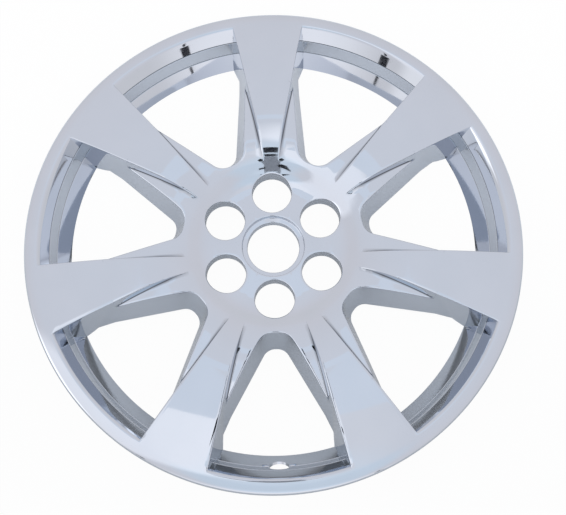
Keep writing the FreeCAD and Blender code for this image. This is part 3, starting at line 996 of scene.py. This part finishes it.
def floor_material():
    material = bpy.data.materials.new("white_floor")
    material.use_nodes = True
    tree = material.node_tree
    shader = tree.nodes["Principled BSDF"]
    shader.inputs["Roughness"].default_value = MATT
    place = add_node(tree, "ShaderNodeTexCoord")
    split = add_node(tree, "ShaderNodeSeparateXYZ")
    north = add_node(tree, "ShaderNodeMapRange", {"From Min": -FLOOR_FADE, "From Max": FLOOR_FADE})
    shade = add_node(tree, "ShaderNodeMix", {"A": FLOOR_SHADED_SOUTH, "B": FLOOR_LIT_NORTH}, data_type="RGBA")
    glow = add_node(tree, "ShaderNodeEmission")
    path = add_node(tree, "ShaderNodeLightPath")
    seen = add_node(tree, "ShaderNodeMath", operation="MAXIMUM")
    direct = add_node(tree, "ShaderNodeMath", {1: FLOOR_WHITE}, operation="MULTIPLY")
    reflected = add_node(tree, "ShaderNodeMath", {1: FLOOR_WHITE_IN_CHROME}, operation="MULTIPLY")
    share = add_node(tree, "ShaderNodeMath", operation="MAXIMUM")
    mix = add_node(tree, "ShaderNodeMixShader")
    side = add_node(tree, "ShaderNodeNewGeometry")
    clear = add_node(tree, "ShaderNodeBsdfTransparent")
    one_sided = add_node(tree, "ShaderNodeMixShader")
    wire(
        tree,
        (place, "Object", split, "Vector"),
        (split, "Y", north, "Value"),
        (north, "Result", shade, "Factor"),
        (shade, "Result", shader, "Base Color"),
        (path, "Is Camera Ray", seen, 0),
        (path, "Is Transmission Ray", seen, 1),
        (seen, "Value", direct, 0),
        (path, "Is Glossy Ray", reflected, 0),
        (direct, "Value", share, 0),
        (reflected, "Value", share, 1),
        (share, "Value", mix, "Fac"),
        (shader, "BSDF", mix, 1),
        (glow, "Emission", mix, 2),
        (side, "Backfacing", one_sided, "Fac"),
        (mix, "Shader", one_sided, 1),
        (clear, "BSDF", one_sided, 2),
        (one_sided, "Shader", tree.nodes["Material Output"], "Surface"),
    )
    return material


def flat_sheet(name, corners, material):
    """A sheet with four corners."""
    mesh = bpy.data.meshes.new(name)
    mesh.from_pydata(corners, [], [(0, 1, 2, 3)])
    mesh.materials.append(material)
    return placed(name, mesh)


half = FLOOR_SIZE / 2
floor_plan = ((-half, -half), (half, -half), (half, half), (-half, half))
floor = flat_sheet("floor", [(x, y, -FLOOR_DEPTH) for x, y in floor_plan], floor_material())
print("floor of", FLOOR_SIZE, "m")

# %% Sky
SKY_HORIZON = (0.83, 0.815, 0.82, 1)
SKY_MIDDLE = (0.88, 0.855, 0.885, 1)
SKY_MIDDLE_AT = 0.5
SKY_TOP = (0.89, 0.90, 0.955, 1)
SIDEWAYS = 90  # degrees
SCREEN_AZIMUTH = -156
SCREEN_SPREAD = 10  # degrees by which each side of the screen leans out
SCREEN_FRONT = (-0.08, 0.08)  # cosines between which an edge fades
SCREEN_SIDE = (0.11, 0.21)
SCREEN_LIGHT = (0.27, 0.27, 0.27, 1)
SKY_PATCHES = (  # blend, azimuth and angle from upright, cosines between which the edge fades, light
    ("ADD", (-90, 78), (0.75, 0.97), (0.32, 0.32, 0.33, 1)),  # glow low in front
    ("ADD", (-165, 70), (0.95, 0.985), (0.7, 0.7, 0.7, 1)),  # lamp
    ("MULTIPLY", (-85, 33), (0.90, 0.97), (0.94, 1.04, 1.09, 1)),  # blue patch
    ("ADD", (-90, 10), (0.95, 0.985), (0.06, 0.05, 0.04, 1)),  # pale patch overhead
)
PANEL_BLUE = (0.905, 0.957, 1.045, 1)
PANEL_UP = (1.0, 0.0364)  # middle and half of a band of directions
PANEL_NORTH = (0.482, 0.5)
GAP_EAST = (0.0, 0.045)
GAP_NORTH = (-0.31, 0.5)


def direction(azimuth, from_upright):
    """Vector towards an azimuth and an angle from upright, in degrees."""
    a, p = math.radians(azimuth), math.radians(from_upright)
    return (math.sin(p) * math.cos(a), math.sin(p) * math.sin(a), math.cos(p))


def lobe(tree, place, towards, start, stop):
    """A value that rises smoothly from 0 to 1 as a direction comes near another."""
    near = add_node(tree, "ShaderNodeVectorMath", {1: direction(*towards)}, operation="DOT_PRODUCT")
    limits = {"From Min": start, "From Max": stop}
    rise = add_node(tree, "ShaderNodeMapRange", limits, interpolation_type="SMOOTHSTEP")
    tree.links.new(place, near.inputs[0])
    tree.links.new(near.outputs["Value"], rise.inputs["Value"])
    return rise.outputs["Result"]


def band(tree, value, middle, half):
    """1 where a value lies within half of a middle."""
    inside = add_node(tree, "ShaderNodeMath", {1: middle, 2: half}, operation="COMPARE")
    tree.links.new(value, inside.inputs[0])
    return inside.outputs["Value"]


def combined(tree, operation, one, other):
    node = add_node(tree, "ShaderNodeMath", operation=operation)
    tree.links.new(one, node.inputs[0])
    tree.links.new(other, node.inputs[1])
    return node.outputs["Value"]


def tinted(tree, blend, factor, colour, by):
    node = add_node(tree, "ShaderNodeMix", {"B": by}, data_type="RGBA", blend_type=blend)
    tree.links.new(factor, node.inputs["Factor"])
    tree.links.new(colour, node.inputs["A"])
    return node.outputs["Result"]


# %% Sky as a world
def pale_sky():
    world = bpy.data.worlds.new("pale_sky")
    world.use_nodes = True
    tree = world.node_tree
    place = add_node(tree, "ShaderNodeTexCoord").outputs["Generated"]
    split = add_node(tree, "ShaderNodeSeparateXYZ")
    tree.links.new(place, split.inputs["Vector"])
    ramp = add_node(tree, "ShaderNodeValToRGB")
    ramp.color_ramp.elements[0].color = SKY_HORIZON
    ramp.color_ramp.elements[1].color = SKY_TOP
    ramp.color_ramp.elements.new(SKY_MIDDLE_AT).color = SKY_MIDDLE
    tree.links.new(split.outputs["Z"], ramp.inputs["Fac"])
    away = SIDEWAYS + SCREEN_SPREAD
    east = lobe(tree, place, (SCREEN_AZIMUTH + away, SIDEWAYS), *SCREEN_SIDE)
    west = lobe(tree, place, (SCREEN_AZIMUTH - away, SIDEWAYS), *SCREEN_SIDE)
    front = lobe(tree, place, (SCREEN_AZIMUTH, SIDEWAYS), *SCREEN_FRONT)
    screen = combined(tree, "SUBTRACT", front, combined(tree, "MAXIMUM", east, west))
    colour = tinted(tree, "ADD", screen, ramp.outputs["Color"], SCREEN_LIGHT)
    for blend, towards, edge, light in SKY_PATCHES:
        colour = tinted(tree, blend, lobe(tree, place, towards, *edge), colour, light)
    x, y, z = split.outputs
    panel = combined(tree, "MULTIPLY", band(tree, z, *PANEL_UP), band(tree, y, *PANEL_NORTH))
    gap = combined(tree, "MULTIPLY", band(tree, x, *GAP_EAST), band(tree, y, *GAP_NORTH))
    panel = combined(tree, "SUBTRACT", panel, gap)
    colour = tinted(tree, "MIX", panel, colour, PANEL_BLUE)
    tree.links.new(colour, tree.nodes["Background"].inputs["Color"])
    return world


bpy.context.scene.world = pale_sky()
print("sky:", len(SKY_PATCHES), "patches, a screen and a panel")

# %% [markdown]
# ## Something dark to mirror
# A studio stand leans over the cover and shows in the chrome at the root of the top spoke. Two lamp stands
# far off show as small dark marks in the rim walls of the top windows. Flat boards are enough for them:
# hidden from the camera, they show only in the chrome.

# %% Dark stand above the cover
STAND_HEIGHT = 450 * MM
ARM_HEIGHT = 448 * MM
STAND_BLACK = (0.03, 0.03, 0.035, 1)
STAND_GREY = (0.53, 0.54, 0.56, 1)
STAND_BOARDS = (  # name, paint, height, corners in millimetres
    ("stand_head", STAND_BLACK, STAND_HEIGHT, ((-14.5, -82), (-14.5, -30), (14.5, -27), (14.5, -82))),
    ("stand_collar", STAND_BLACK, STAND_HEIGHT, ((-16, -120), (-16, -95), (16, -92), (16, -120))),
    ("stand_neck", STAND_GREY, STAND_HEIGHT, ((-60, -320), (-19, -122), (19, -122), (46, -320))),
    ("stand_arm_west", STAND_BLACK, ARM_HEIGHT, ((-112, -282), (-66, -212), (-32, -205), (-32, -243))),
    ("stand_arm_east", STAND_BLACK, ARM_HEIGHT, ((30, -262), (30, -245), (64, -250), (64, -268))),
)


def flat_paint(name, colour):
    material = bpy.data.materials.new(name)
    material.use_nodes = True
    shader = material.node_tree.nodes["Principled BSDF"]
    shader.inputs["Base Color"].default_value = colour
    shader.inputs["Roughness"].default_value = MATT
    return material


def hidden_board(name, colour, corners):
    """A flat board that only reflections see."""
    board = flat_sheet(name, corners, flat_paint(name + "_paint", colour))
    board.visible_camera = False


for name, colour, board_height, corners in STAND_BOARDS:
    hidden_board(name, colour, [(x * MM, y * MM, board_height) for x, y in corners])
print("stand:", len(STAND_BOARDS), "boards")

# %% Lamp stands far off
LAMP_STAND_DISTANCE = 2.5  # metres
LAMP_STANDS = (  # middle azimuth, half width and the two angles from upright, degrees
    ("lamp_head_west", -130.5, 1.5, (74, 79)),
    ("lamp_head_east", -61.5, 1.5, (74, 79)),
    ("lamp_pole_west", -130.5, 0.5, (62, 73)),
    ("lamp_pole_east", -61.5, 0.5, (62, 73)),
)
for name, azimuth, half_width, (high, low) in LAMP_STANDS:
    west, east = azimuth - half_width, azimuth + half_width
    views = ((west, low), (west, high), (east, high), (east, low))
    hidden_board(name, STAND_BLACK, [LAMP_STAND_DISTANCE * Vector(direction(*view)) for view in views])
print("lamp stands:", len(LAMP_STANDS), "boards")

# %% [markdown]
# ## Colour view
# The standard view shows colours as they are set.

# %% Finish
bpy.context.scene.view_settings.view_transform = "Standard"
